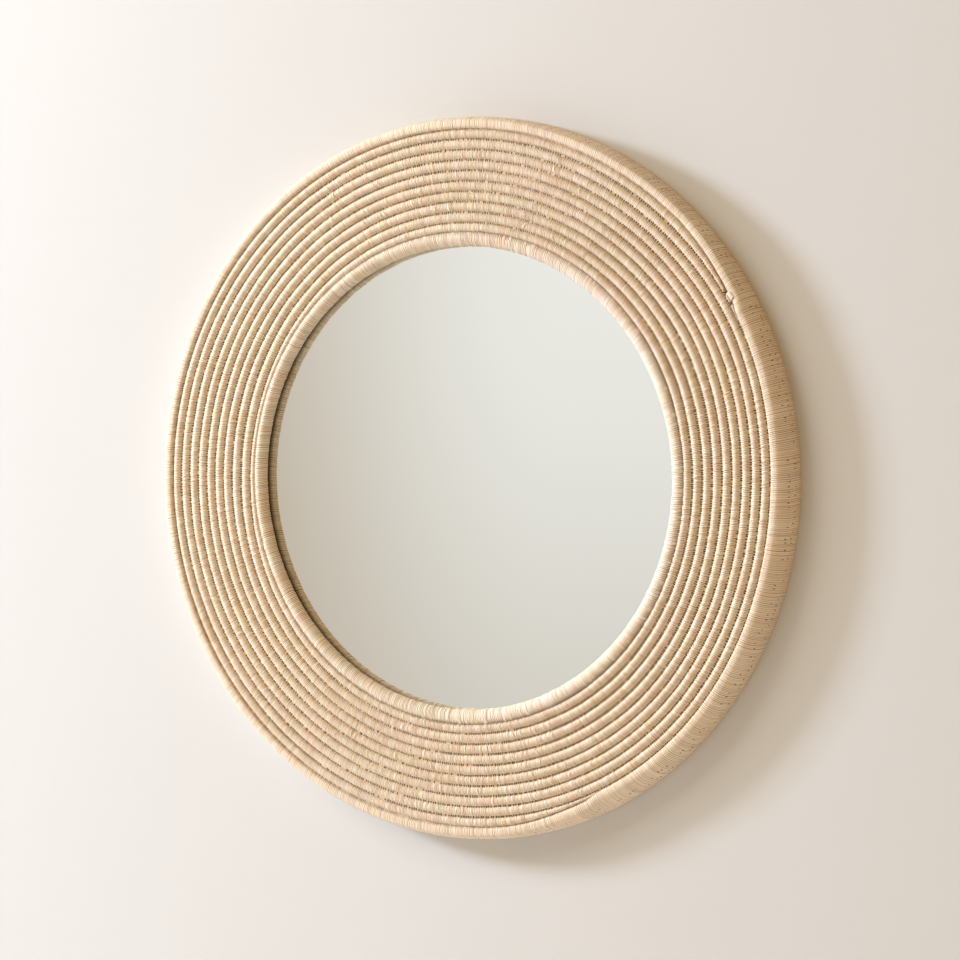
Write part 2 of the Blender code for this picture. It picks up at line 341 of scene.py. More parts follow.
@dataclass(frozen=True)
class Fibreboard:
    """Medium-density fibreboard, sawn and left raw: warm brown with a fine speckle of pressed fibres."""

    name: str = "fibreboard_raw"
    light: str = "#c4a57d"
    dark: str = "#ab8b64"
    speck: float = 0.9 * MM
    patch: float = 36.0 * MM
    relief: float = 0.06 * MM

    def material(self) -> Material:
        """Builds the finish from two sizes of speckle.

        Returns:
            The material.
        """
        material, tree = new_material(self.name)
        place = add_node(tree, "TexCoord").outputs["Object"]
        fine = add_node(tree, "TexNoise", {0: place, "Scale": 1 / self.speck, "Detail": 3.0})
        broad = add_node(tree, "TexNoise", {0: place, "Scale": 1 / self.patch, "Detail": 2.0})
        both = add_node(tree, "Math", {0: fine, 1: broad}, operation="ADD")
        amount = add_node(tree, "MapRange", {0: both, "From Min": 0.5, "From Max": 1.5})
        tones = {0: amount, MIX_FROM: linear(self.dark), MIX_TO: linear(self.light)}
        colour = add_node(tree, "Mix", tones, data_type="RGBA")
        bump = add_node(tree, "Bump", {"Height": fine, "Distance": self.relief})
        look = {"Base Color": colour, "Roughness": 0.82, "IOR": 1.5, "Normal": bump}
        surface_of(tree, add_node(tree, "BsdfPrincipled", look))
        return material


@dataclass(frozen=True)
class ZincPlating:
    """Pressed steel with bright zinc plating: a cool grey metal with soft patches and a fine drawn grain."""

    name: str
    light: str = "#cdd0d2"
    dark: str = "#a9adb0"
    roughness: float = 0.34
    grain: float = 0.35 * MM
    grain_stretch: float = 20.0
    relief: float = 0.01 * MM
    patches_per_metre: float = 220.0

    def material(self) -> Material:
        """Builds the finish: a metal whose roughness and tone follow the patches of its plating.

        Returns:
            The material.
        """
        material, tree = new_material(self.name)
        place = add_node(tree, "TexCoord").outputs["Object"]
        across = 1 / self.grain
        drawn = add_node(tree, "Mapping", {0: place, "Scale": (across, across, across / self.grain_stretch)})
        grain = add_node(tree, "TexNoise", {0: drawn, "Scale": 1.0, "Detail": 2.0})
        patches = add_node(tree, "TexNoise", {0: place, "Scale": self.patches_per_metre, "Detail": 1.0})
        tones = {0: patches, MIX_FROM: linear(self.dark), MIX_TO: linear(self.light)}
        colour = add_node(tree, "Mix", tones, data_type="RGBA")
        spread = {"To Min": self.roughness - 0.1, "To Max": self.roughness + 0.1}
        rough = add_node(tree, "MapRange", {0: grain, **spread})
        bump = add_node(tree, "Bump", {"Height": grain, "Distance": self.relief})
        look = {"Base Color": colour, "Metallic": 1.0, "Roughness": rough, "Normal": bump}
        surface_of(tree, add_node(tree, "BsdfPrincipled", look))
        return material


@dataclass(frozen=True)
class MattPaint:
    """Matt emulsion paint, rolled: a plain pale surface with hardly any tone of its own."""

    name: str
    colour: str
    clear_from_behind: bool = False
    clear_within: float = 5.0 * MM
    naps_per_metre: float = 260.0
    relief: float = 0.05 * MM

    def material(self) -> Material:
        """Builds the finish. A wall may be clear from behind and at its very back, where the mirror hangs.

        Returns:
            The material.
        """
        material, tree = new_material(self.name)
        place = add_node(tree, "TexCoord").outputs["Object"]
        roller = add_node(tree, "TexNoise", {0: place, "Scale": self.naps_per_metre, "Detail": 2.0})
        bump = add_node(tree, "Bump", {"Height": roller, "Distance": self.relief})
        look = {"Base Color": linear(self.colour), "Roughness": 0.9, "Specular IOR Level": 0.2}
        paint = add_node(tree, "BsdfPrincipled", {**look, "Normal": bump})
        if self.clear_from_behind:
            face = add_node(tree, "NewGeometry").outputs["Backfacing"]
            ray = add_node(tree, "LightPath").outputs["Ray Length"]
            close = add_node(tree, "Math", {0: ray, 1: self.clear_within}, operation="LESS_THAN")
            open_side = add_node(tree, "Math", {0: face, 1: close}, operation="MAXIMUM")
            clear = add_node(tree, "BsdfTransparent")
            paint = add_node(tree, "MixShader", {0: open_side, 1: paint, 2: clear})
        surface_of(tree, paint)
        return material


@dataclass(frozen=True)
class Bump:
    """A smooth change at one side of the ring: its size times exp(k (cos(angle from its middle) - 1))."""

    size: float
    middle: float
    sharpness: float

    def over(self, angle: np.ndarray) -> np.ndarray:
        """The change at each angle."""
        return self.size * np.exp(self.sharpness * (np.cos(angle - self.middle) - 1))


@dataclass
class FrameSizes:
    """Sizes of the mirror's frame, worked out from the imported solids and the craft's own values."""

    row_count: int = 9
    row_width: float = 10.97 * MM
    binding_radius: float = 8.35 * MM
    binding_set_back: float = 3.4 * MM
    binding_to_first_row: float = 9.1 * MM
    shoulder_drop: float = 22.5 * MM
    gap: float = 0.3 * MM
    part_start: float = radians(27)
    part_end: float = radians(297)
    part_taper: float = radians(21)
    part_tip: float = 0.3
    part_end_ease: float = radians(3.5)
    drifts: tuple[Bump, ...] = (
        Bump(5.2 * MM, radians(315), 7.0),
        Bump(4.4 * MM, radians(25), 17.0),
        Bump(-2.3 * MM, radians(160), 3.0),
    )
    fuller: tuple[Bump, ...] = (
        Bump(2.4 * MM, radians(272), 4.0),
        Bump(1.2 * MM, radians(92), 6.0),
        Bump(1.1 * MM, radians(162.3), 4e3),
    )
    pinch: Bump = Bump(1.0, radians(165), 6.0)

    def __post_init__(self) -> None:
        """Takes the outer sizes from the solids."""
        self.face_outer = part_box("coiled_face")[1].x
        self.outer_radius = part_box("rim_band")[1].x
        self.frame_depth = -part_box("coiled_face")[0].y
        self.board_front = -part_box("back_board")[0].y
        self.row_radius = self.row_width / 2
        self.row_depth = self.frame_depth - self.row_radius
        self.first_row = self.face_outer - (self.row_count - 0.5) * self.row_width
        self.binding_centre = self.first_row - self.binding_to_first_row
        self.binding_depth = self.row_depth - self.binding_set_back
        self.shoulder_depth = self.frame_depth - self.shoulder_drop

    def drift(self, angle: np.ndarray) -> np.ndarray:
        """How far the outer rows lie off a true circle: out twice at the right, and in at the left."""
        return sum(bump.over(angle) for bump in self.drifts)

    def outline(self, angle: np.ndarray) -> np.ndarray:
        """The outer radius: fuller than the solid above and below, with a small bulge at the left."""
        return self.outer_radius + sum(bump.over(angle) for bump in self.fuller)

    def from_tip(self, angle: np.ndarray, length: float) -> np.ndarray:
        """Eases from 0 at each end of the part row to 1 at the given angle from it."""
        return smoothstep(np.minimum(angle - self.part_start, self.part_end - angle) / length)

    def part_ease(self, angle: np.ndarray) -> np.ndarray:
        """0 where there is no part row, and eased to 1 over its first and last few degrees."""
        return self.from_tip(angle, self.part_end_ease)

    def part_thickness(self, angle: np.ndarray) -> np.ndarray:
        """Its thickness over the full one: tip + (1 - tip) eased over the taper, half that at its ends."""
        tapered = self.part_tip + (1 - self.part_tip) * self.from_tip(angle, self.part_taper)
        return tapered * (0.5 + 0.5 * self.part_ease(angle))


@dataclass
class StrandLay:
    """Raffia strands laid side by side round a ring.

    Each strand has three columns of the grid: the valley before it and the two shoulders of its flat top.
    A leaf of raffia wraps a run of strands, so tone and hue change by runs, with a little change from one
    strand to the next.
    """

    radius: float
    width: float
    seed: int
    start: float = 0.0
    end: float = TURN
    edge: Edge = Edge.CLOSED
    uneven: float = 0.3
    columns_at: tuple[float, float, float] = (0.0, 0.3, 0.74)
    valley: tuple[float, float] = (0.25 * MM, 0.7 * MM)
    open_valley: float = 0.95 * MM
    open_share: float = 0.08
    lift: float = 0.26 * MM
    tilt: float = 0.18 * MM
    sway: float = 0.34 * MM
    lean: float = 1.7 * MM
    lean_change: float = 0.8 * MM
    lean_waves: tuple[int, ...] = (3, 7, 12)
    jitter: float = 0.16
    strands_per_leaf: float = 13.0
    # The holes give gaps in the groove: the strands sink there and get painted shade.
    hole_share: float = 0.55
    hole_depth: float = 0.9 * MM
    open_hole: tuple[float, float] = (0.75, 1.0)
    shut_hole: float = 0.12
    rough: float = 0.06 * MM
    # How dark the painted shade in each strand's valley is, for shut and for parted strands.
    crease_shade: tuple[float, float] = (0.45, 1.0)
    parted_strand_shade: tuple[float, float] = (0.8, 1.0)
    mean_tone: float = 0.6
    mean_hue: float = 0.5
    leaf_change: tuple[float, float] = (0.1, 0.24)
    strand_change: tuple[float, float] = (0.27, 0.2)

    def __post_init__(self) -> None:
        """Works out the columns as whole arrays: angle, sink, tone, hue, dark, hole, offset and shift."""
        rng = np.random.default_rng(self.seed)
        count = round((self.end - self.start) * self.radius / self.width)
        shares = rng.uniform(1 - self.uneven, 1 + self.uneven, count)
        edges = self.start + (self.end - self.start) * np.concatenate([[0], np.cumsum(shares)]) / shares.sum()
        nothing = np.zeros(count)
        leaf = np.cumsum(rng.random(count) < 1 / self.strands_per_leaf)
        means = (self.mean_tone, self.mean_hue)
        tone, hue = (
            mean + rng.normal(0.0, by_leaf, leaf[-1] + 1)[leaf] + rng.normal(0.0, by_strand, count)
            for mean, by_leaf, by_strand in zip(means, self.leaf_change, self.strand_change)
        )
        parted = rng.random(count) < self.open_share
        valley = np.where(parted, self.open_valley, rng.uniform(*self.valley, count))
        crease_shade = np.where(parted, rng.uniform(*self.parted_strand_shade, count), rng.uniform(*self.crease_shade, count))
        lifted = rng.uniform(0.0, self.lift, count)
        tilted = rng.uniform(0.0, self.tilt, count)
        is_open = rng.random(count) < self.hole_share
        hole = np.where(is_open, rng.uniform(*self.open_hole, count), self.shut_hole)
        jitter = rng.uniform(-self.jitter, self.jitter, count) * self.width
        sway = rng.uniform(-self.sway, self.sway, count)

        self.angle = (edges[:-1, None] + np.diff(edges)[:, None] * np.array(self.columns_at)).ravel()
        self.sink = np.stack([lifted + valley, lifted, lifted + tilted], 1).ravel()
        self.tone = np.repeat(np.clip(tone, 0, 1), 3)
        self.hue = np.repeat(np.clip(hue, 0, 1), 3)
        # dark is painted shade in the valley column of each strand.
        self.dark = np.stack([crease_shade, nothing, nothing], 1).ravel()
        self.hole = np.stack([hole, 0.3 * hole, nothing], 1).ravel()
        self.offset = np.repeat(sway, 3)
        leaning = self.lean + slow_waves(self.angle, self.seed + 1, self.lean_waves, self.lean_change)
        self.shift = leaning + np.repeat(jitter, 3)


@dataclass
class Section:
    """The section of a band, one row of values for each column: where each point is and which way is out.

    across is the distance over the band in metres, lean the share of the strands' lean at each point, and
    groove is 1 where the band dips into a groove and 0 on its crown. shade darkens what gets no light.
    """

    rho: np.ndarray
    depth: np.ndarray
    out_rho: np.ndarray
    out_depth: np.ndarray
    across: np.ndarray
    lean: np.ndarray
    groove: np.ndarray
    shade: np.ndarray | float = 0.0


@dataclass(frozen=True)
class Arc:
    """How much of a round coil a band covers: first and last angle in degrees, and how many points."""

    first: float
    last: float
    points: int


ROW_ARC = Arc(-6.0, 186.0, 9)
FIRST_ROW_ARC = Arc(20.0, 186.0, 8)
BINDING_ARC = Arc(-100.0, 150.0, 16)

# Where a row's groove starts, as an angle from its crown, and how far on it is full.
ROW_GROOVE = (radians(54), radians(18))


def coil_section(
    columns: int, centre: np.ndarray, depth: np.ndarray, radius: np.ndarray, arc: Arc
) -> Section:
    """The arc of a coil that shows, (centre - r cos p, depth + r sin p): p runs out from the glass side.

    Args:
        columns: How many columns the grid has.
        centre: Distance of the coil's centre line from the mirror's, for each column.
        depth: Distance of the coil's centre line from the wall, for each column.
        radius: The coil's radius, for each column.
        arc: The angles p.

    Returns:
        The coil's section.
    """
    turn = np.radians(np.linspace(arc.first, arc.last, arc.points))[None, :] * np.ones((columns, 1))
    centre, depth, radius = (
        np.broadcast_to(np.reshape(values, (-1, 1)), turn.shape) for values in (centre, depth, radius)
    )
    return Section(
        rho=centre - radius * np.cos(turn),
        depth=depth + radius * np.sin(turn),
        out_rho=-np.cos(turn),
        out_depth=np.sin(turn),
        across=(turn - pi / 2) * radius,
        lean=(turn - pi / 2) / pi,
        groove=eased(np.abs(turn - pi / 2), ROW_GROOVE),
    )


def strand_object(
    name: str,
    vertices: np.ndarray,
    corners: np.ndarray,
    starts: np.ndarray,
    uv: np.ndarray,
    strand: np.ndarray,
) -> Object:
    """Makes an object from whole arrays.

    Args:
        name: Name of the object.
        vertices: Positions, one row each.
        corners: The vertex of every face corner.
        starts: Where each face starts in the corners.
        uv: Metres along the ring and across the band, one row for each corner.
        strand: Tone, hue and the darkness of painted shade, one row for each vertex.

    Returns:
        The new object, smooth and linked to the scene.
    """
    mesh = bpy.data.meshes.new(name)
    mesh.vertices.add(len(vertices))
    mesh.vertices.foreach_set("co", vertices.astype(np.float32).ravel())
    mesh.loops.add(len(corners))
    mesh.loops.foreach_set("vertex_index", corners.astype(np.int32))
    mesh.polygons.add(len(starts))
    mesh.polygons.foreach_set("loop_start", starts.astype(np.int32))
    mesh.uv_layers.new(name=UV_NAME).data.foreach_set("uv", uv.astype(np.float32).ravel())
    attribute = mesh.attributes.new(STRAND_ATTRIBUTE, "FLOAT_VECTOR", "POINT")
    attribute.data.foreach_set("vector", strand.astype(np.float32).ravel())
    mesh.polygons.foreach_set("use_smooth", np.ones(len(starts), dtype=bool))
    mesh.update(calc_edges=True)
    mesh.validate()
    made = bpy.data.objects.new(name, mesh)
    bpy.context.scene.collection.objects.link(made)
    return made


def band_object(name: str, lay: StrandLay, section: Section, ring: float) -> Object:
    """Builds one band of strands as a closed mesh.

    A vertex is the section's point, moved in by the strand's sink and by the lay's hole_depth times its hole
    in the groove, and turned round the ring by lean / rho. The last point of each column joins its first,
    which closes the band underneath, and a band that doesn't run full circle has a flat face at each end.

    Args:
        name: Name of the piece.
        lay: The strands.
        section: The section at each column.
        ring: Ring radius by which angles become metres in the UV map.

    Returns:
        The new object.
    """
    columns, points = section.rho.shape
    rng = np.random.default_rng(lay.seed + 5)
    # A hole in the groove sinks the strands and darkens them with painted shade.
    opening = lay.hole[:, None] * section.groove
    sink = lay.sink[:, None] + lay.hole_depth * opening + rng.uniform(0.0, lay.rough, (columns, points))
    rho = section.rho - section.out_rho * sink + lay.offset[:, None] * np.abs(section.out_rho)
    depth = section.depth - section.out_depth * sink
    angle = lay.angle[:, None] + lay.shift[:, None] * section.lean / section.rho
    vertices = ring_points(angle, rho, np.maximum(depth, 0.0)).reshape(-1, 3)

    closed = lay.edge is Edge.CLOSED
    here = np.arange(columns if closed else columns - 1)[:, None]
    low = np.arange(points)[None, :]
    high = (low + 1) % points
    beside = (here + 1) % columns
    across = np.append(section.across[0], section.across[0, -1] + 2 * MM)
    along = np.append(lay.angle, lay.angle[0] + TURN) * ring
    grid = (here.size, points)
    faces = [here * points + low, here * points + high, beside * points + high, beside * points + low]
    corners = np.stack([np.broadcast_to(c, grid) for c in faces], -1).ravel()
    u = np.stack([np.broadcast_to(along[c], grid) for c in (here, here, here + 1, here + 1)], -1).ravel()
    v = np.stack([np.broadcast_to(across[p], grid) for p in (low, low + 1, low + 1, low)], -1).ravel()
    starts = np.arange(0, corners.size, 4)
    if not closed:
        first = np.arange(points)[::-1]
        last = (columns - 1) * points + np.arange(points)
        starts = np.append(starts, [corners.size, corners.size + points])
        corners = np.concatenate([corners, first, last])
        u = np.concatenate([u, np.full(points, along[0]), np.full(points, along[columns - 1])])
        v = np.concatenate([v, across[first], across[:points]])

    # Painted shade: the valleys off the grooves, the holes in them and the section's own shade.
    dark = np.maximum(np.maximum(lay.dark[:, None] * (1 - section.groove), opening), section.shade)
    strand = np.stack(np.broadcast_arrays(lay.tone[:, None], lay.hue[:, None], dark), -1)
    return strand_object(name, vertices, corners, starts, np.stack([u, v], -1), strand.reshape(-1, 3))


def ribbon_object(
    name: str, middle: np.ndarray, out: np.ndarray, width: np.ndarray, thickness: float, tone: np.ndarray
) -> Object:
    """Builds single strands as thin closed ribbons in one mesh.

    At each point of its middle line a ribbon has four corners: one at each side, half its width away, and one
    at its front and its back, half its thickness away. The side is the line's direction crossed with out.

    Args:
        name: Name of the piece.
        middle: Middle lines, an array of (ribbon, point, 3).
        out: Which way the ribbon's front faces, in the same shape.
        width: Width at each point, an array of (ribbon, point).
        thickness: How thick the ribbons are.
        tone: Tone, hue and darkness of each ribbon.

    Returns:
        The new object.
    """
    count, points = middle.shape[:2]
    ahead = np.gradient(middle, axis=1)
    side = np.cross(ahead, out)
    side /= np.linalg.norm(side, axis=-1, keepdims=True)
    half = side * width[..., None] / 2
    half_thick = out * thickness / 2
    ring = np.stack([middle + half, middle + half_thick, middle - half, middle - half_thick], 2)

    here = np.arange(points - 1)[:, None] * 4
    low = np.arange(4)[None, :]
    high = (low + 1) % 4
    sides = np.stack([here + low, here + high, here + 4 + high, here + 4 + low], -1).reshape(-1, 4)
    ends = np.array([[3, 2, 1, 0], [0, 1, 2, 3]]) + np.array([[0], [(points - 1) * 4]])
    faces = np.concatenate([sides, ends])
    corners = (np.arange(count)[:, None, None] * points * 4 + faces[None]).ravel()
    starts = np.arange(0, corners.size, 4)
    place = np.stack([np.arange(count * points * 4) % 4, np.arange(count * points * 4) // 4], -1) * MM
    strand = np.repeat(tone, points * 4, axis=0)
    return strand_object(name, ring.reshape(-1, 3), corners, starts, place[corners], strand)


def seam_shade(sizes: FrameSizes, lay: StrandLay, depth: np.ndarray) -> np.ndarray:
    """Painted shade in the seam of binding and first row, dotted by its strands and lost where that row is
    thin.

    Args:
        sizes: The frame's sizes.
        lay: The strands on this side of the seam.
        depth: How deep in the seam each point lies, from 0 to 1.

    Returns:
        How dark the seam's painted shade is, times the depth, times (0.4 + 0.6 hole), times 1 less the pinch.
    """
    dotted = 0.4 + 0.6 * lay.hole[:, None]
    return SEAM_PAINTED_SHADE * depth * dotted * (1 - sizes.pinch.over(lay.angle)[:, None])


def finish_piece(piece: Object, material: Material, slot: Slot, *nodes: str) -> None:
    """Dresses a piece, puts it on the mirror's body and lets it stand for its solids.

    Args:
        piece: The object.
        material: Its finish.
        slot: The record's slot for that finish; not used.
        *nodes: The solids that it stands for.
    """
    piece.data.materials.append(material)
    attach(piece, "root")
    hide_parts(*nodes)
    log.info("%s: %d faces", piece.name, len(piece.data.polygons))


@dataclass
class CoiledFace:
    """The nine closed rows of coil and the plain bed that they are sewn to.

    The drift of the outer rows reaches the inner ones in part: 0.3 of it the first row, and 0.2 more each
    row beyond it. Near the pinch the first rows move out and grow by their pinched_rows, in millimetres.
    """

    sizes: FrameSizes
    strand_width: float = 1.62 * MM
    drift_shares: tuple[float, float] = (0.3, 0.2)
    waves: tuple[int, ...] = (4, 9, 23)
    wander: float = 0.22 * MM
    thin_waves: tuple[int, ...] = (5, 11, 19)
    thinner: float = 0.3 * MM
    pinched_rows: tuple[tuple[float, float], ...] = ((-1.7, -1.9), (-2.6, 0.6), (-1.0, 0.0))
    notch_groove: tuple[float, float] = (radians(24), radians(14))
    notch_seam: tuple[float, float] = (radians(40), radians(9))
    bed_steps: int = 240
    bed_over_centres: float = 2.2 * MM
    bed_beyond_rows: float = 0.8 * MM

    def build(self, wrapped: Material, sewn: Material) -> None:
        """Builds and dresses every row, and the bed.

        Args:
            wrapped: Finish of the rows.
            sewn: Finish of the bed.
        """
        for number in range(self.sizes.row_count):
            self.build_row(number, wrapped)
        self.build_bed(sewn)

    def sewing(self) -> HoleRow:
        """The gaps between the stitches of the bed, painted dark as shade, in a lane for each row."""
        return HoleRow(
            across=0.0,
            spacing=2.25 * MM,
            half_width=0.56 * MM,
            half_length=1.0,
            share=0.92,
            unevenness=0.45,
            lane=self.sizes.row_width,
        )

    def row_centre(self, number: int, angle: np.ndarray) -> np.ndarray:
        """Radius of a row's centre line: even steps, plus the row's share of the drift and its own waves.

        Args:
            number: Which row, from 0.
            angle: Radians round the ring.

        Returns:
            The radius at each angle.
        """
        share = min(1.0, self.drift_shares[0] + self.drift_shares[1] * number)
        ring = self.sizes.first_row + number * self.sizes.row_width + self.pinched(number, angle)[0]
        own = slow_waves(angle, 400 + number, self.waves, self.wander)
        return ring + share * self.sizes.drift(angle) + own

    def pinched(self, number: int, angle: np.ndarray) -> tuple[np.ndarray, np.ndarray]:
        """How far a row's centre line and radius change at the left, where the first row is pinched thin.

        Args:
            number: Which row, from 0.
            angle: Radians round the ring.

        Returns:
            Both changes: the row's own numbers times the pinch.
        """
        moved, grown = self.pinched_rows[number] if number < len(self.pinched_rows) else (0.0, 0.0)
        near = self.sizes.pinch.over(angle) * MM
        return moved * near, grown * near

    def build_row(self, number: int, material: Material) -> None:
        """Builds one row, raised where it is thin. The first starts in the notch where it meets the binding.

        Args:
            number: Which row, from 0.
            material: Its finish.
        """
        sizes = self.sizes
        ring = sizes.first_row + number * sizes.row_width
        lay = StrandLay(radius=ring, width=self.strand_width, seed=100 + 7 * number)
        grown = self.pinched(number, lay.angle)[1]
        thinner = np.abs(slow_waves(lay.angle, 300 + number, self.thin_waves, self.thinner))
        section = coil_section(
            len(lay.angle),
            centre=self.row_centre(number, lay.angle),
            depth=sizes.row_depth - np.maximum(grown, 0.6 * grown),
            radius=sizes.row_radius + grown - thinner,
            arc=ROW_ARC if number else FIRST_ROW_ARC,
        )
        if number == 0:
            inward = -section.across / sizes.row_radius
            section.groove = np.maximum(section.groove, eased(inward, self.notch_groove))
            # Painted shade in the first row's seam with the binding.
            section.shade = seam_shade(sizes, lay, eased(inward, self.notch_seam))
        piece = band_object(f"coil_row_{number + 1}", lay, section, ring=ring)
        finish_piece(piece, material, Slot.ROWS, "coiled_face")

    def build_bed(self, material: Material) -> None:
        """Builds the ring under the rows, which fills their grooves: four corners carried round.

        Args:
            material: Its finish.
        """
        sizes = self.sizes
        inner = sizes.binding_centre + sizes.binding_radius + sizes.gap
        outer = sizes.face_outer + self.bed_beyond_rows
        top = sizes.row_depth + self.bed_over_centres
        bottom = sizes.board_front + sizes.gap
        even = dict.fromkeys(("open_share", "lift", "tilt", "lean", "rough", "sway", "hole_depth"), 0.0)
        width = TURN * inner / self.bed_steps
        lay = StrandLay(radius=inner, width=width, seed=90, valley=(0.0, 0.0), **even)
        lay.dark[:] = 0.0
        corners = np.array([(inner, bottom), (inner, top), (outer, top), (outer, bottom)])
        spread = np.ones((len(lay.angle), 1))
        inner_share = self.drift_shares[0]
        moved = np.array([inner_share, inner_share, 1.0, 1.0]) * sizes.drift(lay.angle)[:, None]
        flat = np.zeros((len(lay.angle), 4))
        section = Section(
            rho=corners[:, 0] * spread + moved,
            depth=corners[:, 1] * spread,
            out_rho=flat,
            out_depth=flat,
            across=(corners[:, 0] - sizes.first_row) * spread,
            lean=flat,
            groove=flat,
        )
        piece = band_object("coil_bed", lay, section, ring=inner)
        piece.data.shade_flat()
        finish_piece(piece, material, Slot.ROWS, "coiled_face")


@dataclass
class PartRow:
    """The tenth row, which thins out at the upper right and at the lower right.

    The knot near its start pulls it down on both sides, which leaves two openings, sunk in the mesh and
    darkened with painted shade.
    """

    sizes: FrameSizes
    strand_width: float = 1.62 * MM
    openings: tuple[Bump, Bump] = (Bump(1.0, radians(30.05), 5e4), Bump(1.0, radians(32.05), 5e4))
    pull: float = 3.0 * MM

    def build(self, material: Material) -> None:
        """Builds and dresses the part row.

        Args:
            material: Its finish.
        """
        sizes = self.sizes
        full = sizes.row_radius - sizes.gap
        ring = sizes.face_outer + sizes.gap + full
        ends = {"start": sizes.part_start, "end": sizes.part_end, "edge": Edge.CAPPED}
        lay = StrandLay(radius=ring, width=self.strand_width, seed=211, **ends)
        radius = full * sizes.part_thickness(lay.angle)
        pulled = sum(bump.over(lay.angle) for bump in self.openings)
        section = coil_section(
            len(lay.angle),
            centre=sizes.face_outer + sizes.gap + radius + sizes.drift(lay.angle),
            depth=sizes.row_depth + full - radius - self.pull * pulled,
            radius=radius,
            arc=ROW_ARC,
        )
        # Painted shade in the two openings beside the knot.
        section.shade = pulled[:, None]
        piece = band_object("coil_part_row", lay, section, ring=ring)
        finish_piece(piece, material, Slot.ROWS, "outer_part_row")


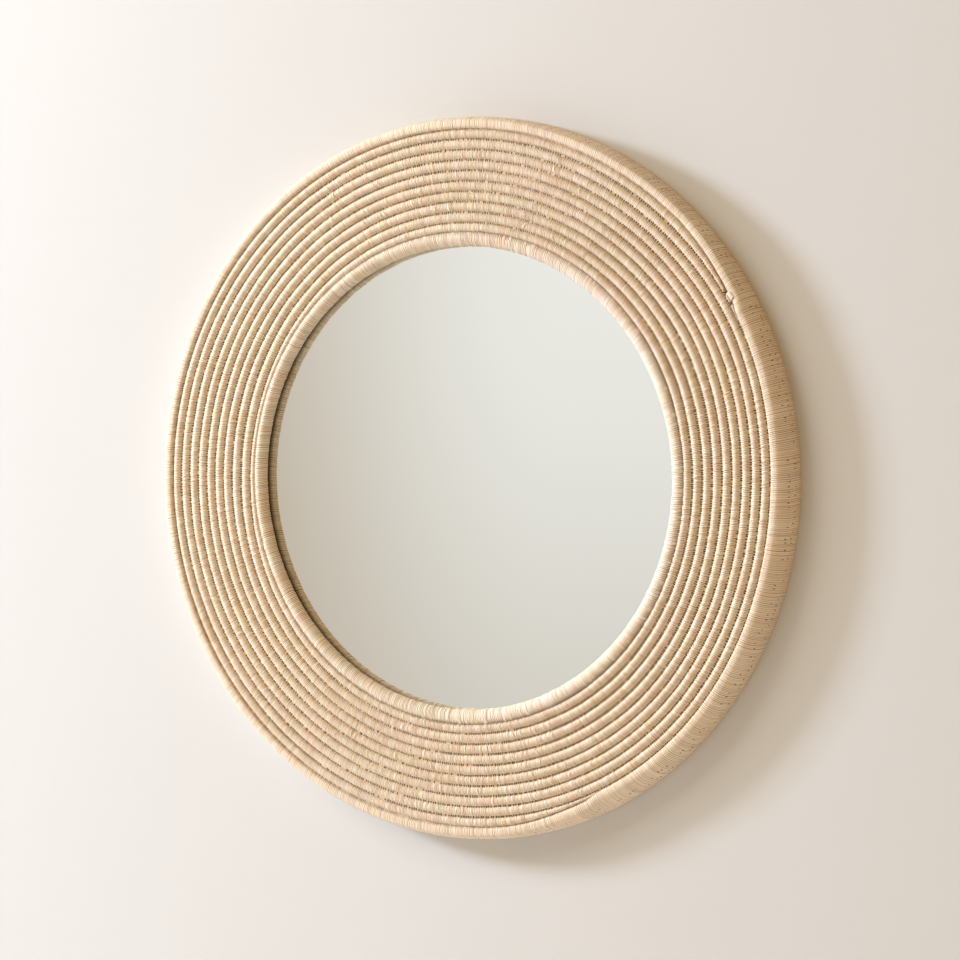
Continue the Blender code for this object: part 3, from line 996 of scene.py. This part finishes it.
@dataclass
class CrossingStrands:
    """Single leaves laid over the rows at a slant, the part row's knot, and the short loose ends."""

    sizes: FrameSizes
    face: CoiledFace
    per_row: int = 34
    lean: tuple[float, float] = (0.8 * MM, 3.2 * MM)
    width: tuple[float, float] = (0.8 * MM, 1.5 * MM)
    hues: tuple[float, float] = (0.2, 0.8)
    sunk: float = 0.12 * MM
    reach: float = radians(62)
    points: int = 8
    thickness: float = 0.4 * MM
    knot_strands: int = 14
    knot_at: float = radians(31.05)
    knot_reach: float = radians(0.55)
    knot_radius: float = 4.9 * MM
    knot_out: float = 6.8 * MM
    knot_raise: float = 0.5 * MM
    knot_lean: tuple[float, float] = (0.5 * MM, 3.0 * MM)
    knot_width: tuple[float, float] = (1.2 * MM, 2.0 * MM)
    knot_hues: tuple[float, float] = (0.9, 1.0)
    loose_ends: int = 110
    loose_side: float = radians(195)
    loose_spread: float = radians(24)
    loose_share: float = 0.6
    loose_points: int = 5
    loose_lift: float = 1.5
    loose_slant: float = 1.2
    loose_width: tuple[float, float] = (0.5 * MM, 1.1 * MM)
    loose_thickness: float = 0.25 * MM

    def build(self, material: Material) -> None:
        """Builds and dresses the crossing strands of the rows, then the knot and the loose ends.

        Args:
            material: The finish of them all.
        """
        sizes = self.sizes
        rng = np.random.default_rng(77)
        number = np.repeat(np.arange(1, sizes.row_count), self.per_row)
        count = number.size
        angle = rng.uniform(0.0, TURN, count)
        ring = self.centres(number, angle)
        lean = rng.uniform(*self.lean, count) * rng.choice([1, 1, 1, -1], count)
        width = rng.uniform(*self.width, count)
        radius = np.full(count, sizes.row_radius - self.sunk)
        depth = np.full(count, sizes.row_depth)
        values = (angle, ring, radius, depth, lean, width)
        piece = self.over_coil("coil_crossing_strands", rng, values, self.hues)
        finish_piece(piece, material, Slot.ROWS, "coiled_face")

        count = self.knot_strands
        angle = self.knot_at + rng.uniform(-1, 1, count) * self.knot_reach
        radius = rng.uniform(0.8, 1.0, count) * self.knot_radius
        ring = sizes.face_outer + self.knot_out + sizes.drift(angle)
        depth = sizes.frame_depth + self.knot_raise - radius
        lean = rng.uniform(*self.knot_lean, count) * rng.choice([1, -1], count)
        width = rng.uniform(*self.knot_width, count)
        values = (angle, ring, radius, depth, lean, width)
        piece = self.over_coil("part_row_knot", rng, values, self.knot_hues)
        finish_piece(piece, material, Slot.ROWS, "outer_part_row")

        self.build_loose_ends(rng, material)

    def centres(self, number: np.ndarray, angle: np.ndarray) -> np.ndarray:
        """Radius of the centre line of each strand's row, where the strand lies."""
        return np.array([self.face.row_centre(n, np.array([a]))[0] for n, a in zip(number, angle)])

    def build_loose_ends(self, rng: np.random.Generator, material: Material) -> None:
        """Builds the short ends that stand off the inner flanks of the coils, most of them at the lower left.

        Each one leaves its coil 20 degrees before the crown, goes down its flank by up to 52 degrees and
        lifts off it as the square of its length.

        Args:
            rng: Source of the random draws.
            material: Finish of the ends.
        """
        sizes = self.sizes
        count = self.loose_ends
        number = rng.integers(1, sizes.row_count, count)
        left = self.loose_side + rng.normal(0.0, self.loose_spread, count)
        angle = np.where(rng.random(count) < self.loose_share, left, rng.uniform(0.0, TURN, count))
        ring = self.centres(number, angle)[:, None]
        share = np.linspace(0.0, 1.0, self.loose_points)[None, :]
        turn = radians(70) - radians(52) * share * rng.uniform(0.6, 1.0, (count, 1))
        lifted = 0.1 + self.loose_lift * rng.uniform(0.2, 1.0, (count, 1)) * share ** 2
        reach = sizes.row_radius + lifted * MM
        slant = rng.uniform(-self.loose_slant, self.loose_slant, (count, 1)) * MM
        around = angle[:, None] + slant * share / ring
        depth = np.minimum(sizes.row_depth + reach * np.sin(turn), sizes.frame_depth)
        middle = ring_points(around, ring - reach * np.cos(turn), depth)
        out = ring_points(around, -np.cos(turn), np.sin(turn))
        width = rng.uniform(*self.loose_width, (count, 1)) * (1.0 - 0.5 * share)
        tone = np.stack([rng.uniform(0.7, 1.0, count), rng.uniform(0.5, 1.0, count), np.zeros(count)], -1)
        piece = ribbon_object("coil_loose_ends", middle, out, width, self.loose_thickness, tone)
        finish_piece(piece, material, Slot.ROWS, "coiled_face")

    def over_coil(
        self, name: str, rng: np.random.Generator, values: tuple[np.ndarray, ...], hues: tuple[float, float]
    ) -> Object:
        """Lays ribbons over coils.

        Each ribbon follows its coil's arc for the reach on both sides of the crown, turned round the ring by
        its lean, and is narrow and low at its ends.

        Args:
            name: Name of the piece.
            rng: Source of the tones.
            values: Angle, ring radius, coil radius, depth, lean and width, an array of each.
            hues: Range of the hues, from green at 0 to pink at 1.

        Returns:
            The new object.
        """
        angle, ring, radius, depth, lean, width = (v[:, None] for v in values)
        share = np.linspace(-1.0, 1.0, self.points)[None, :]
        turn = pi / 2 + self.reach * share + 0.0 * angle
        high = 1.0 - share ** 2
        reach = radius - 0.3 * MM + 0.36 * MM * high
        around = angle + lean * share / ring
        middle = ring_points(around, ring - reach * np.cos(turn), depth + reach * np.sin(turn))
        out = ring_points(around, -np.cos(turn), np.sin(turn))
        widths = width * (0.45 + 0.55 * high)
        ranges = ((0.4, 1.0), hues, (0.0, 0.12))
        tone = np.stack([rng.uniform(low, top, angle.size) for low, top in ranges], -1)
        return ribbon_object(name, middle, out, widths, self.thickness, tone)


@dataclass
class Binding:
    """The thick wrapped ring round the glass.

    Its own strands meet the first row in a groove and a seam of painted shade, and painted shade darkens it
    where it turns under towards the glass. Each of these starts at an angle from the crown and is full a few
    degrees on.
    """

    sizes: FrameSizes
    strand_width: float = 1.8 * MM
    thicker: tuple[float, float, float] = (0.56 * MM, 0.97 * MM, -0.54 * MM)
    groove: tuple[float, float] = (radians(8), radians(24))
    seam: tuple[float, float] = (radians(27), radians(8))
    # Where the painted shade on the underside starts, and how far on it is full.
    turned_under: tuple[float, float] = (radians(118), radians(45))

    def uneven_thickness(self, angle: np.ndarray) -> np.ndarray:
        """Half of how much thicker than its solid the wrapped ring is: even + right cos a + side cos 2a."""
        even, right, side = self.thicker
        return even + right * np.cos(angle) + side * np.cos(2 * angle)

    def build(self, material: Material) -> None:
        """Builds and dresses the binding, from its underside at the glass over the crown to the first row.

        Args:
            material: Its finish.
        """
        sizes = self.sizes
        lay = StrandLay(
            radius=sizes.binding_centre,
            width=self.strand_width,
            seed=31,
            valley=(0.14 * MM, 0.45 * MM),
            lean=2.2 * MM,
            lean_change=0.3 * MM,
            open_share=0.09,
            hole_share=0.85,
        )
        section = coil_section(
            len(lay.angle),
            centre=np.array([sizes.binding_centre]),
            depth=np.array([sizes.binding_depth]),
            radius=np.array([sizes.binding_radius]),
            arc=BINDING_ARC,
        )
        thicker = self.uneven_thickness(lay.angle)[:, None]
        section.rho = section.rho - thicker * (1 - section.out_rho)
        turned = section.across / sizes.binding_radius
        section.groove = eased(turned, self.groove)
        seam = seam_shade(sizes, lay, eased(turned, self.seam))
        # Painted shade in the seam and on the underside turned towards the glass.
        section.shade = np.maximum(seam, SEAM_PAINTED_SHADE * eased(-turned, self.turned_under))
        piece = band_object("glass_binding", lay, section, ring=sizes.binding_centre)
        finish_piece(piece, material, Slot.BINDING, "inner_binding")


@dataclass
class Rim:
    """The outer band: strands over the nose and the shoulder, down the side and turned under at the wall."""

    sizes: FrameSizes
    strand_width: float = 1.95 * MM
    corner: float = 1.0 * MM
    turned_under: float = 9.0 * MM
    side_middle: float = 0.55
    nose_radius: float = 3.2 * MM
    nose_turns: tuple[float, ...] = (-22.0, 14.0, 52.0, 90.0)
    crest: float = 5.2 * MM
    first_slope: float = 0.4
    shoulder_points: int = 9
    ledge_over_centres: float = 2.2 * MM
    ledge_reach: float = 0.9 * MM
    lean_from: float = 8.0 * MM
    lean_over: float = 30.0 * MM
    groove_end: float = 2.6 * MM
    groove_fade: float = 1.4 * MM
    stitch_depths: tuple[float, float] = (22.0 * MM, 13.4 * MM)
    loose: Bump = Bump(1.0, radians(25.6), 4e3)
    seam_end: float = 6.9 * MM
    seam_fade: float = 2.0 * MM
    stray_at: tuple[float, ...] = (radians(19.5), radians(89), radians(263.5), radians(96))
    stray_depth: float = 14.0 * MM
    stray_rise: float = 1.5 * MM
    stray_root: float = 0.4 * MM
    stray_reach: float = 2.6 * MM
    stray_curl: float = 3.4 * MM
    stray_points: int = 7
    stray_width: tuple[float, float] = (0.7 * MM, 0.3 * MM)
    stray_thickness: float = 0.25 * MM

    def wall(self, angle: np.ndarray) -> np.ndarray:
        """Radius where the nose starts: beyond the part row where there is one, else at the ninth row.

        Args:
            angle: Radians round the ring.

        Returns:
            The radius at each angle.
        """
        sizes = self.sizes
        width = (sizes.row_width - 2 * sizes.gap) * sizes.part_thickness(angle)
        beyond = (width + sizes.gap) * sizes.part_ease(angle)
        return sizes.face_outer + sizes.gap + beyond + sizes.drift(angle)

    def section(self, angle: np.ndarray) -> Section:
        """Joins the ledge in the last groove, the nose, the crest and shoulder, the side and the back.

        The shoulder falls at a fixed slope s plus a quarter ellipse: at a turn f from 0 to 90 degrees it is
        A sin f beyond the crest and s A sin f + (drop - s A) (1 - cos f) below it.

        Args:
            angle: Radians round the ring, one for each column.

        Returns:
            The rim's section.
        """
        sizes = self.sizes
        radius = self.nose_radius
        nose_depth = sizes.frame_depth - radius
        wall = self.wall(angle)[:, None]
        nose = np.radians(self.nose_turns)[None, :]
        nose_cos, nose_sin = np.cos(nose), np.sin(nose)
        fall = np.radians(np.linspace(0, 90, self.shoulder_points))[None, :]
        start = wall + radius + self.crest
        outer = sizes.outline(angle)[:, None]
        wide = outer - start
        rest = sizes.shoulder_drop - self.first_slope * wide
        down = self.first_slope * wide * np.sin(fall) + rest * (1 - np.cos(fall))
        face_rho = self.first_slope * wide * np.cos(fall) + rest * np.sin(fall)
        face_depth = wide * np.cos(fall)
        face = np.hypot(face_rho, face_depth)
        bevel = 0.3 * self.corner
        stretches = [
            (wall - self.ledge_reach, sizes.row_depth + self.ledge_over_centres, 0.0, 0.0),
            (wall + radius - radius * nose_cos, nose_depth + radius * nose_sin, -nose_cos, nose_sin),
            (start + wide * np.sin(fall), sizes.frame_depth - down, face_rho / face, face_depth / face),
            (outer, sizes.shoulder_depth * self.side_middle, 1.0, 0.0),
            (outer, self.corner, 1.0, 0.0),
            (outer - bevel, bevel, 0.7, -0.7),
            (outer - self.corner, 0.0, 0.0, 0.0),
            (outer - self.turned_under, 0.0, 0.0, 0.0),
            (sizes.face_outer + sizes.gap, 0.0, 0.0, 0.0),
        ]
        spread = [np.broadcast_arrays(*stretch, wall)[:4] for stretch in stretches]
        rho, depth, out_rho, out_depth = (np.hstack(values) for values in zip(*spread))
        steps = np.hypot(np.diff(rho, axis=1), np.diff(depth, axis=1))
        across = np.hstack([np.zeros_like(wall), np.cumsum(steps, axis=1)])
        typical = np.median(across, axis=0)[None, :] * np.ones_like(wall)
        return Section(
            rho=rho,
            depth=depth,
            out_rho=out_rho,
            out_depth=out_depth,
            across=typical,
            lean=(typical - self.lean_from) / self.lean_over,
            groove=smoothstep((self.groove_end - typical) / self.groove_fade),
        )

    def stitches(self) -> tuple[HoleRow, ...]:
        """The two uneven rows of stitch holes, painted dark as shade, at their distances from the wall.

        Returns:
            The rows, each at its distance across the band.
        """
        section = self.section(np.linspace(0.0, TURN, 90))
        first = 1 + len(self.nose_turns)
        shoulder = slice(first, first + self.shoulder_points)
        from_wall = section.depth[0, shoulder][::-1]
        across = section.across[0, shoulder][::-1]
        return tuple(
            HoleRow(
                across=float(np.interp(depth, from_wall, across)),
                spacing=5.4 * MM,
                half_width=0.45 * MM,
                half_length=1.25 * MM,
                wander=1.5 * MM,
                share=0.5,
            )
            for depth in self.stitch_depths
        )

    def build(self, material: Material) -> None:
        """Builds and dresses the rim, with its strands a little apart just beyond the part row's start, and
        painted shade in its seam with the last row and in that gap.

        Args:
            material: Its finish.
        """
        ring = self.sizes.outer_radius
        lay = StrandLay(
            radius=ring,
            width=self.strand_width,
            seed=57,
            valley=(0.2 * MM, 0.5 * MM),
            lift=0.2 * MM,
            lean=2.4 * MM,
            open_share=0.03,
            open_valley=0.45 * MM,
            sway=0.0,
            crease_shade=(0.3, 0.85),
            leaf_change=(0.05, 0.1),
            strand_change=(0.13, 0.12),
        )
        # Where the strands lie apart, the gap sinks in the groove and is painted dark as shade.
        apart = self.loose.over(lay.angle)
        lay.hole = np.maximum(lay.hole, apart)
        section = self.section(lay.angle)
        # Painted shade in the seam next to the last row, dotted by the gaps between strands.
        dotted = np.maximum(0.12 + 0.88 * lay.hole, apart)[:, None]
        seam = smoothstep((self.seam_end - section.across) / self.seam_fade)
        section.shade = SEAM_PAINTED_SHADE * dotted * seam
        finish_piece(band_object("rim_wrap", lay, section, ring=ring), material, Slot.RIM, "rim_band")
        self.build_strays(material)

    def build_strays(self, material: Material) -> None:
        """Builds the few fibres that curl off the side: out and partly back, as the sine of 135 degrees.

        Args:
            material: Its finish.
        """
        angle = np.array(self.stray_at)[:, None]
        share = np.linspace(0.0, 1.0, self.stray_points)[None, :] + 0.0 * angle
        outer = self.sizes.outline(angle)
        rho = outer - self.stray_root + self.stray_reach * np.sin(0.75 * pi * share)
        around = angle + self.stray_curl * share / outer
        middle = ring_points(around, rho, self.stray_depth + self.stray_rise * share)
        out = ring_points(around, 0.0 * rho, np.ones_like(rho))
        width = self.stray_width[0] + (self.stray_width[1] - self.stray_width[0]) * share
        tone = np.tile([0.9, 0.6, 0.0], (len(self.stray_at), 1))
        piece = ribbon_object("rim_stray_fibres", middle, out, width, self.stray_thickness, tone)
        finish_piece(piece, material, Slot.RIM, "rim_band")


@dataclass
class Glass:
    """The mirror's glass, which keeps its solid."""

    node: Object

    def dress(self, material: Material) -> None:
        """Gives the glass its finish."""
        dress_node(self.node, material)


@dataclass
class Back:
    """The board, the hanger plates and their screws, which keep their solids."""

    nodes: dict[str, Object]

    def dress(self, board: Material, plate: Material, screw: Material) -> None:
        """Gives the board, the plates and the screws their finishes.

        Args:
            board: Finish of the board.
            plate: Finish of the hanger plates.
            screw: Finish of their screws.
        """
        dress_node(self.nodes["back_board"], board)
        for name in sorted(self.nodes):
            if name.startswith("hanger_plate"):
                dress_node(self.nodes[name], plate)
            if name.startswith("hanger_screw"):
                dress_node(self.nodes[name], screw)


def dress_node(node: Object, material: Material) -> None:
    """Puts a finish in every material slot of a solid that stays.

    Args:
        node: The solid.
        material: Its finish.
    """
    for slot in node.material_slots:
        slot.material = material
    log.info("%s: keeps its solid, now in %s", node.name, material.name)


@dataclass(frozen=True)
class Lamp:
    """A round soft lamp, turned to the mirror's centre and placed by its direction from there."""

    name: str
    direction: tuple[float, float, float]
    distance: float
    size: float
    power: float
    colour: str

    def build(self) -> None:
        """Hangs the lamp."""
        direction = Vector(self.direction).normalized()
        data = bpy.data.lights.new(self.name, "AREA")
        data.shape = "DISK"
        data.size = self.size
        data.energy = self.power
        data.color = linear(self.colour)[:3]
        light = bpy.data.objects.new(self.name, data)
        light.location = direction * self.distance
        light.rotation_euler = (-direction).to_track_quat("-Z", "Y").to_euler()
        bpy.context.scene.collection.objects.link(light)


@dataclass
class Studio:
    """Camera at the photograph's angle, a plain wall and floor, two lamps at the left and a soft room.

    The room is brighter in a window of directions x and z, and from above. Each of its ramps says between
    which two directions it changes, and from which value to which.
    """

    azimuth: float = radians(29.57)
    elevation: float = radians(1.37)
    distance: float = 4.6
    lens: float = 162.4
    aim: tuple[float, float, float] = (3.3 * MM, 1.9 * MM, -2.5 * MM)
    floor_height: float = -1.25
    floor_reach: float = 5.0
    wall_width: float = 7.0
    wall_top: float = 2.6
    wall_behind: float = 0.4 * MM
    lamps: tuple[Lamp, ...] = (
        Lamp("low_key", (-0.9025, -0.3157, 0.2932), 5.4, 0.9, 402.0, "#d8e6fd"),
        Lamp("soft_fill", (-0.58, -0.60, 0.55), 3.5, 2.0, 60.0, "#f4f0e8"),
    )
    room_warm: str = "#a98c61"
    room_bright: str = "#f9f7f4"
    window_left: tuple[float, ...] = (-0.59, -0.475, 0.0, 1.0)
    window_right: tuple[float, ...] = (-0.42, -0.3, 1.0, 0.0)
    window_sill: tuple[float, ...] = (-0.14, 0.02, 0.6, 1.0)
    from_above: tuple[float, ...] = (-0.7, 0.7, 0.55, 1.34)

    def build(self) -> None:
        """Builds the camera, the lamps, the room and the stage."""
        self.build_camera()
        for lamp in self.lamps:
            lamp.build()
        self.build_room()
        self.build_stage()

    def build_camera(self) -> None:
        """Puts the camera where the photograph was taken from, aimed at the mirror's centre."""
        level = cos(self.elevation)
        direction = Vector((sin(self.azimuth) * level, -cos(self.azimuth) * level, sin(self.elevation)))
        data = bpy.data.cameras.new("photo_camera")
        data.sensor_width = 36.0
        data.lens = self.lens
        camera = bpy.data.objects.new("photo_camera", data)
        camera.location = direction * self.distance
        aim = Vector(self.aim) - camera.location
        camera.rotation_euler = aim.to_track_quat("-Z", "Y").to_euler()
        bpy.context.scene.collection.objects.link(camera)
        bpy.context.scene.camera = camera
        bpy.context.scene.view_settings.view_transform = "Standard"

    def build_room(self) -> None:
        """Makes the soft room light, brighter from above and in the part that the mirror shows."""
        world = bpy.data.worlds.new("soft_room")
        world.use_nodes = True
        bpy.context.scene.world = world
        tree = world.node_tree
        tree.nodes.clear()
        way = add_node(tree, "TexCoord").outputs["Generated"]
        x, y, z = add_node(tree, "SeparateXYZ", {0: way}).outputs
        names = ("From Min", "From Max", "To Min", "To Max")
        bright = add_node(tree, "Math", {0: y, 1: 0.0}, operation="LESS_THAN")
        for value, ramp in ((x, self.window_left), (x, self.window_right), (z, self.window_sill)):
            ends = dict(zip(names, ramp))
            edge = add_node(tree, "MapRange", {0: value, **ends}, interpolation_type="SMOOTHSTEP")
            bright = add_node(tree, "Math", {0: bright, 1: edge}, operation="MULTIPLY")
        tones = {0: bright, MIX_FROM: linear(self.room_warm), MIX_TO: linear(self.room_bright)}
        colour = add_node(tree, "Mix", tones, data_type="RGBA")
        strength = add_node(tree, "MapRange", {0: z, **dict(zip(names, self.from_above))})
        light = add_node(tree, "Background", {0: colour, 1: strength})
        add_node(tree, "OutputWorld", {0: light})

    def build_stage(self) -> None:
        """Makes the wall just behind the mirror and the floor below it, each one flat sheet."""
        left, right = -self.wall_width / 2, self.wall_width / 2
        front, behind = -self.floor_reach, self.wall_behind
        low, top = self.floor_height, self.wall_top
        wall = [(left, behind, low), (right, behind, low), (right, behind, top), (left, behind, top)]
        floor = [(left, front, low), (right, front, low), (right, behind, low), (left, behind, low)]
        self.build_sheet("stage_wall", wall, MattPaint("wall_emulsion_rolled", "#d4d4d1", True).material())
        self.build_sheet("stage_floor", floor, MattPaint("floor_paint_pale", "#e9e5df").material())

    def build_sheet(self, name: str, corners: list[tuple[float, ...]], material: Material) -> None:
        """Makes one flat sheet of the stage.

        Args:
            name: Name of the object.
            corners: Its corners, anticlockwise as seen from the room.
            material: Its finish.
        """
        mesh = bpy.data.meshes.new(name)
        mesh.from_pydata(corners, [], [tuple(range(len(corners)))])
        mesh.materials.append(material)
        sheet = bpy.data.objects.new(name, mesh)
        bpy.context.scene.collection.objects.link(sheet)


def main() -> None:
    """Builds the pieces in order, dresses them and sets the studio."""
    logging.basicConfig(level=logging.INFO, format="%(name)s: %(message)s")
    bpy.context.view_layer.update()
    nodes = frame["nodes"]
    sizes = FrameSizes()
    face = CoiledFace(sizes)
    rim = Rim(sizes)
    wrapped = Raffia("raffia_wrapped_coil").material()
    # The bed's darker copy of the raffia colours is painted shade, for the floor of the grooves.
    shaded = {"pale": "#d0ac7c", "straw": "#b38a58", "crease_shade": "#2c1606"}
    sewn = Raffia("raffia_sewn_between_rows_painted_shade", hole_rows=(face.sewing(),), **shaded).material()
    # The binding's lighter copy of the raffia colours is painted light, for the lit side of the binding.
    binding_painted_lighter = Raffia("raffia_wrapped_binding_painted_lighter", pale="#fff7e6", straw="#f0cda6").material()
    laid = Raffia("raffia_laid_over_rim", ripple_height=0.3 * MM, hole_rows=rim.stitches()).material()
    face.build(wrapped, sewn)
    PartRow(sizes).build(wrapped)
    CrossingStrands(sizes, face).build(wrapped)
    Binding(sizes).build(binding_painted_lighter)
    rim.build(laid)
    Glass(nodes["mirror_glass"]).dress(SilveredGlass().material())
    Back(nodes).dress(
        Fibreboard().material(),
        ZincPlating("steel_pressed_zinc_plated").material(),
        ZincPlating("steel_screw_zinc_plated", roughness=0.26).material(),
    )
    Studio().build()


if __name__ == "__main__":
    main()
